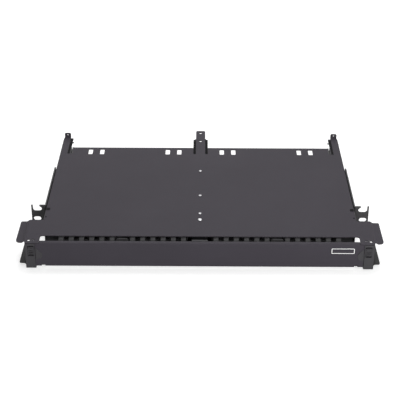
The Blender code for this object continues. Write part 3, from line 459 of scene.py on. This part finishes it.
# Blind rivets: a domed flange round the open end of the mandrel's bore.
rivetLook = {"rise": 0.0009, "bore": 0.00075, "boreDepth": 0.0007, "lip": 0.0002, "shank": 0.0012, "steps": 32,
             "dome": (0.55, 0.72, 0.86, 0.95, 1.0), "brim": 0.25, "fullness": 1.25}


def spun(points, steps):
    bm = bmesh.new()
    verts = [bm.verts.new((radius, 0, height)) for radius, height in points]
    edges = [bm.edges.new(pair) for pair in zip(verts, verts[1:])]
    bmesh.ops.spin(bm, geom=verts + edges, cent=(0, 0, 0), axis=(0, 0, 1), dvec=(0, 0, 0),
                   angle=2 * math.pi, steps=steps, use_merge=True, use_duplicate=False)
    bmesh.ops.remove_doubles(bm, verts=bm.verts[:], dist=mergeGap)
    return bm


def makeRivets():
    look = rivetLook
    for word in ("rear", "middle", "front"):
        node = "cover_rivet_" + word
        low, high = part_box(node)
        head = (high[0] - low[0]) / 2
        top = look["rise"]
        points = [(0.0, top - look["boreDepth"]), (look["bore"], top - look["boreDepth"])]
        points += [(look["bore"], top - look["lip"]), (look["bore"] + look["lip"], top)]
        for share in look["dome"]:
            fall = min(1.0, look["fullness"] * math.sqrt(1.0 - share * share))
            points.append((head * share, top * (look["brim"] + (1.0 - look["brim"]) * fall)))
        points += [(head, 0.0), (look["shank"], 0.0), (look["shank"], low[2] - high[2] + top)]
        points.append((0.0, low[2] - high[2] + top))
        bm = spun(points, look["steps"])
        place = ((low[0] + high[0]) / 2, (low[1] + high[1]) / 2, high[2] - top)
        bmesh.ops.translate(bm, verts=bm.verts[:], vec=place)
        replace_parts(newPiece(bm, "rivet_" + word, "platedSteel", "chassis"), node)


# Pan-head screws with a cross recess. The numbers are shares of the head's radius and rise.
screwLook = {"profile": ((0.55, 1.0), (0.80, 0.88), (0.94, 0.62), (1.0, 0.35)), "steps": 32,
             "armLength": 0.504, "armWidth": 0.13, "recess": 0.55, "taper": 0.78, "crown": 0.98}
coverScrew = {"rise": 0.00135, "shank": 0.0012}
earScrew = {"rise": 0.0016, "shank": 0.0015}


# A screw pointing down from its head's seat at the origin. Cuts along the arms part the crown's faces first.
def makeScrew(head, rise, shank, depth):
    look = screwLook
    points = [(0.0, rise)] + [(head * radius, rise * height) for radius, height in look["profile"]]
    points += [(head, 0.0), (shank, 0.0), (shank, -depth), (0.0, -depth)]
    bm = spun(points, look["steps"])
    crownLevel = rise * look["crown"]
    arm, width = head * look["armLength"], head * look["armWidth"]
    for axis in (0, 1):
        normal = (1, 0, 0) if axis == 0 else (0, 1, 0)
        for place in (-arm, -width, width, arm):
            crown = [face for face in bm.faces if face.calc_center_median()[2] > crownLevel]
            edges = {edge for face in crown for edge in face.edges}
            verts = {vert for face in crown for vert in face.verts}
            bmesh.ops.bisect_plane(bm, geom=crown + list(edges) + list(verts), dist=mergeGap / 2,
                                   plane_co=Vector(normal) * place, plane_no=normal)
    sunk = []
    for face in bm.faces:
        middle = face.calc_center_median()
        near, far = sorted((abs(middle[0]), abs(middle[1])))
        if middle[2] > crownLevel and near < width and far < arm:
            sunk.append(face)
    grown = bmesh.ops.extrude_face_region(bm, geom=sunk)
    moved = onlyVerts(grown["geom"])
    bmesh.ops.delete(bm, geom=[face for face in sunk if face.is_valid], context="FACES_ONLY")
    bmesh.ops.scale(bm, vec=(look["taper"], look["taper"], 1.0), verts=moved)
    bmesh.ops.translate(bm, verts=moved, vec=(0, 0, -rise * look["recess"]))
    return bm


def makeScrews():
    low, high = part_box("cover_screw")
    rise = coverScrew["rise"]
    bm = makeScrew((high[0] - low[0]) / 2, rise, coverScrew["shank"], high[2] - low[2] - rise)
    bmesh.ops.translate(bm, verts=bm.verts[:], vec=(0.0, (low[1] + high[1]) / 2, high[2] - rise))
    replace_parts(newPiece(bm, "cover_screw_head", "platedSteel", "chassis"), "cover_screw")
    rise = earScrew["rise"]
    for sign in (-1, 1):
        for word in ("front", "rear"):
            node = "ear_screw_%s_%s" % (sideName(sign), word)
            low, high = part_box(node)
            bm = makeScrew((high[1] - low[1]) / 2, rise, earScrew["shank"], high[0] - low[0] - rise)
            turn = Matrix.Rotation(math.radians(90 * sign), 3, "Y")
            bmesh.ops.rotate(bm, cent=(0, 0, 0), matrix=turn, verts=bm.verts[:])
            seat = high[0] - rise if sign > 0 else low[0] + rise
            place = (seat, (low[1] + high[1]) / 2, (low[2] + high[2]) / 2)
            bmesh.ops.translate(bm, verts=bm.verts[:], vec=place)
            name = "ear_pan_screw_%s_%s" % (sideName(sign), word)
            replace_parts(newPiece(bm, name, "platedSteel", "chassis"), node)


# Black edging pushed over the side walls' flanges beside the rear arms, with a stub that holds a cord tie.
trimLook = {"inner": 0.2036, "outer": 0.2072, "low": 0.0405, "high": 0.04248, "front": 0.0938, "rear": 0.1500,
            "slotLow": 0.0409, "slotHigh": 0.0423, "slotInner": 0.2041, "round": 0.00012,
            "stubY": 0.1357, "stubRadius": 0.0011, "stubReach": 0.0024, "stubTip": 0.8, "stubBite": 0.0001,
            "stubSides": 20}


def makeFlangeTrims():
    look = trimLook
    for sign in (-1, 1):
        outline = [(look["outer"], look["high"]), (look["inner"], look["high"]), (look["inner"], look["low"])]
        outline += [(look["outer"], look["low"]), (look["outer"], look["slotLow"])]
        outline += [(look["slotInner"], look["slotLow"]), (look["slotInner"], look["slotHigh"])]
        outline += [(look["outer"], look["slotHigh"])]
        corners = [(sign * x, look["front"], z) for x, z in outline]
        bm = pushedFace(corners, (0, look["rear"] - look["front"], 0))
        roundEdges(bm, bm.edges[:], look["round"], 1)
        radius = look["stubRadius"]
        stub = bmesh.ops.create_cone(bm, cap_ends=True, segments=look["stubSides"], radius1=radius,
                                     radius2=radius * look["stubTip"], depth=look["stubReach"])
        turn = Matrix.Rotation(math.radians(-90 * sign), 3, "Y")
        bmesh.ops.rotate(bm, cent=(0, 0, 0), matrix=turn, verts=stub["verts"])
        middle = sign * (look["inner"] - look["stubReach"] / 2 + look["stubBite"])
        height = (look["low"] + look["high"]) / 2
        bmesh.ops.translate(bm, verts=stub["verts"], vec=(middle, look["stubY"], height))
        newPiece(bm, "flange_trim_" + sideName(sign), "deepBlackAndPaintedShade", "chassis")


# A black clip over each edge of the cover beside the ears, and a small dark screw in front of it.
clipLook = {"size": (0.0052, 0.0056, 0.0007), "place": (0.2154, -0.0825), "corner": 0.0012, "round": 0.0002,
            "rim": 0.0010, "sink": 0.0003, "bite": 0.0003}
edgeScrew = {"place": (0.2158, -0.1047), "head": 0.0012, "rise": 0.0005, "shank": 0.0006, "depth": 0.0006,
             "bite": 0.0003}


def makeCoverClips():
    look = clipLook
    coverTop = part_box("cover_rivet_front")[1][2] - rivetLook["rise"]
    for sign in (-1, 1):
        bm = bmesh.new()
        bmesh.ops.create_cube(bm, size=1.0)
        bmesh.ops.scale(bm, vec=look["size"], verts=bm.verts[:])
        upright = [edge for edge in bm.edges if edge.verts[0].co.z * edge.verts[1].co.z < 0]
        roundEdges(bm, upright, look["corner"], 4)
        roundEdges(bm, list({edge for face in facing(bm, 2, 1) for edge in face.edges}), look["round"])
        bmesh.ops.inset_region(bm, faces=facing(bm, 2, 1), thickness=look["rim"], use_even_offset=True)
        bmesh.ops.translate(bm, verts=largest(facing(bm, 2, 1)).verts[:], vec=(0, 0, -look["sink"]))
        x, y = look["place"]
        place = (sign * x, y, coverTop + look["size"][2] / 2 - look["bite"])
        bmesh.ops.translate(bm, verts=bm.verts[:], vec=place)
        newPiece(bm, "cover_clip_" + sideName(sign), "deepBlackAndPaintedShade", "chassis")
        bm = makeScrew(edgeScrew["head"], edgeScrew["rise"], edgeScrew["shank"], edgeScrew["depth"])
        x, y = edgeScrew["place"]
        bmesh.ops.translate(bm, verts=bm.verts[:], vec=(sign * x, y, coverTop - edgeScrew["bite"]))
        newPiece(bm, "edge_screw_" + sideName(sign), "deepBlackAndPaintedShade", "chassis")


# The arrow-shaped ends of the blocks' mouldings lie on the door's face and point to its middle.
arrowLook = {"points": ((0.2226, 0.0354), (0.2185, 0.0322), (0.2136, 0.0265), (0.2136, 0.0225),
                        (0.2162, 0.0186), (0.2226, 0.0166)),
             "front": -0.1752, "depth": 0.0006, "round": 0.00025, "inset": 0.0011, "sink": 0.00025}


def makeBlockArrows():
    look = arrowLook
    for sign in (-1, 1):
        corners = [(sign * x, look["front"], z) for x, z in look["points"]]
        bm = pushedFace(corners, (0, look["depth"], 0))
        bmesh.ops.recalc_face_normals(bm, faces=bm.faces[:])
        face = min(bm.faces, key=lambda item: item.calc_center_median()[1])
        roundEdges(bm, face.edges[:], look["round"])
        face = largest(facing(bm, 1, -1))
        bmesh.ops.inset_region(bm, faces=[face], thickness=look["inset"], use_even_offset=True)
        face = largest(facing(bm, 1, -1))
        bmesh.ops.translate(bm, verts=face.verts[:], vec=(0, look["sink"], 0))
        newPiece(bm, "block_arrow_" + sideName(sign), "mouldedBlack", "door")


# Dark strips under the ribs of the latch buttons: painted shadows of the ribs.
ribShadowLook = {"inner": 0.2259, "outer": 0.2313, "front": -0.17605, "rear": -0.17575, "round": 0.0001,
             "heights": ((0.02510, 0.02640), (0.02900, 0.03030))}


def makeRibShadows():
    look = ribShadowLook
    for sign in (-1, 1):
        for number, (low, high) in enumerate(look["heights"], 1):
            bm = sideBar(look, sign, low, high)
            name = "button_rib_shadow_%s_%d" % (sideName(sign), number)
            newPiece(bm, name, "deepBlackAndPaintedShade", "latch_" + sideName(sign))


# Sloping pads moulded on the fronts of the combs' fingers, which keep the cords from a sharp edge.
# Their points are (Y, Z) from the comb's front and top.
padLook = {"first": (0.02211, 0.11951), "pitch": 0.013916, "count": 6, "width": 0.0069, "round": 0.0007,
           "points": ((0.0020, -0.0009), (-0.0020, -0.0009), (-0.0056, -0.0026), (-0.0078, -0.0050),
                      (-0.0078, -0.0075), (0.0020, -0.0075))}


def makeFingerPads():
    look = padLook
    for sign in (-1, 1):
        for level in ("lower", "middle", "upper"):
            word = sideName(sign) + "_" + level
            low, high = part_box("comb_" + word)
            corners = [(-look["width"] / 2, low[1] + y, high[2] + z) for y, z in look["points"]]
            bm = pushedFace(corners, (look["width"], 0, 0))
            bmesh.ops.recalc_face_normals(bm, faces=bm.faces[:])
            roundEdges(bm, bm.edges[:], look["round"], 3)
            shape = bm.verts[:] + bm.edges[:] + bm.faces[:]
            for first in look["first"]:
                for number in range(look["count"]):
                    grown = bmesh.ops.duplicate(bm, geom=shape)
                    along = (sign * (first + number * look["pitch"]), 0, 0)
                    bmesh.ops.translate(bm, verts=onlyVerts(grown["geom"]), vec=along)
            bmesh.ops.delete(bm, geom=onlyVerts(shape), context="VERTS")
            newPiece(bm, "finger_pads_" + word, "padPaintedLight", "tray_" + word)


# Rubber bumpers behind the door's upper corners, under the corners of the cover.
bumperLook = {"inner": 0.2142, "outer": 0.2204, "front": -0.17315, "rear": -0.1680, "low": 0.0380,
              "high": 0.04165, "round": 0.0006}


def makeDoorBumpers():
    look = bumperLook
    for sign in (-1, 1):
        bm = sideBar(look, sign, look["low"], look["high"], 3)
        newPiece(bm, "door_bumper_" + sideName(sign), "deepBlackAndPaintedShade", "door")


# Dark strips between the centre channel's walls and the runners beside them, which paint in the shade along the
# channel.
runnerShadeStripLook = {"inner": 0.0087, "outer": 0.0090, "front": 0.0900, "rear": 0.1502, "low": 0.0382,
             "high": 0.0406, "round": 0.00006}


def makeRunnerShadeStrips():
    look = runnerShadeStripLook
    for sign in (-1, 1):
        bm = sideBar(look, sign, look["low"], look["high"], 1)
        newPiece(bm, "runner_shade_strip_" + sideName(sign), "deepBlackAndPaintedShade", "chassis")


# Flat tongue with a raised front lip, between the inner ends of the trays and ahead of the centre channel. The
# tongue's deep black is painted shade, and the lip's lighter grey is a painted highlight on its front edge.
tongueLook = {"half": 0.0108, "front": -0.1600, "rear": -0.1170, "low": 0.0356, "high": 0.0376,
              "round": 0.0006, "lip": 0.0024, "lipTop": 0.0393}


def makeChannelTongue():
    look = tongueLook
    half, low, back = look["half"], look["low"], look["front"] + look["lip"]
    bm = roundedBar((-half, back, low), (half, look["rear"], look["high"]), look["round"])
    newPiece(bm, "channel_tongue", "deepBlackAndPaintedShade", "chassis")
    bm = roundedBar((-half, look["front"], low), (half, back, look["lipTop"]), look["round"], 3)
    newPiece(bm, "tongue_lip", "lipPaintedHighlight", "chassis")


makeLabelFrame()
makeRivets()
makeScrews()
makeFlangeTrims()
makeCoverClips()
makeBlockArrows()
makeRibShadows()
makeFingerPads()
makeDoorBumpers()
makeRunnerShadeStrips()
makeChannelTongue()
print("scene: the fasteners, trims and door details are on")
